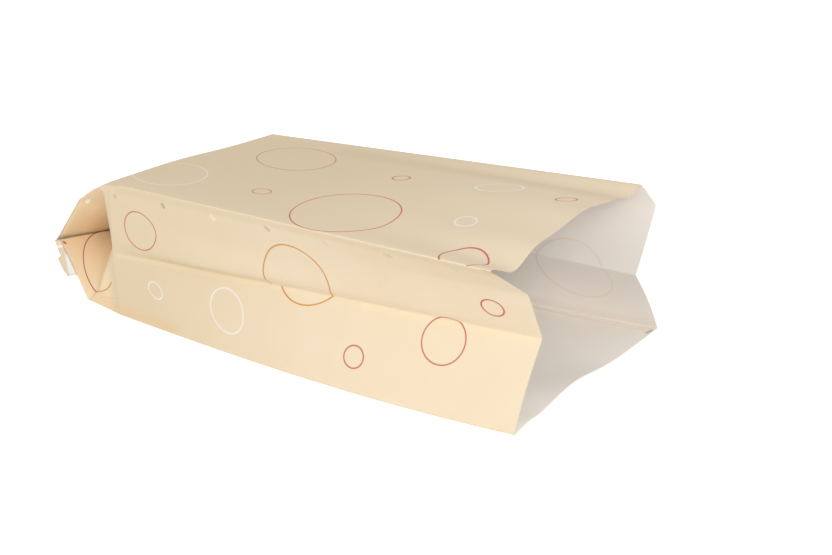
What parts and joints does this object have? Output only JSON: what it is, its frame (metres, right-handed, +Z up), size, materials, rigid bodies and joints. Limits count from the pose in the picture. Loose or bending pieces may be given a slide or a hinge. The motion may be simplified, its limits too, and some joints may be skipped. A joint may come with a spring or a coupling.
{
  "type": "snack bag",
  "caption": "Side-gusset paper snack bag, empty and standing open on its wide panel, with a serrated mouth and a folded, glued end.",
  "frame": {"origin": "middle of the bag's bounding box, on the floor it lies on", "axes": "+X from the folded end to the open mouth, +Z up from the panel the bag lies on"},
  "size_m": [0.2792, 0.1362, 0.0746],
  "materials": {
    "paper": "matte"
  },
  "bodies": {
    "root": {"paper_bag": "paper"}
  },
  "joints": []
}
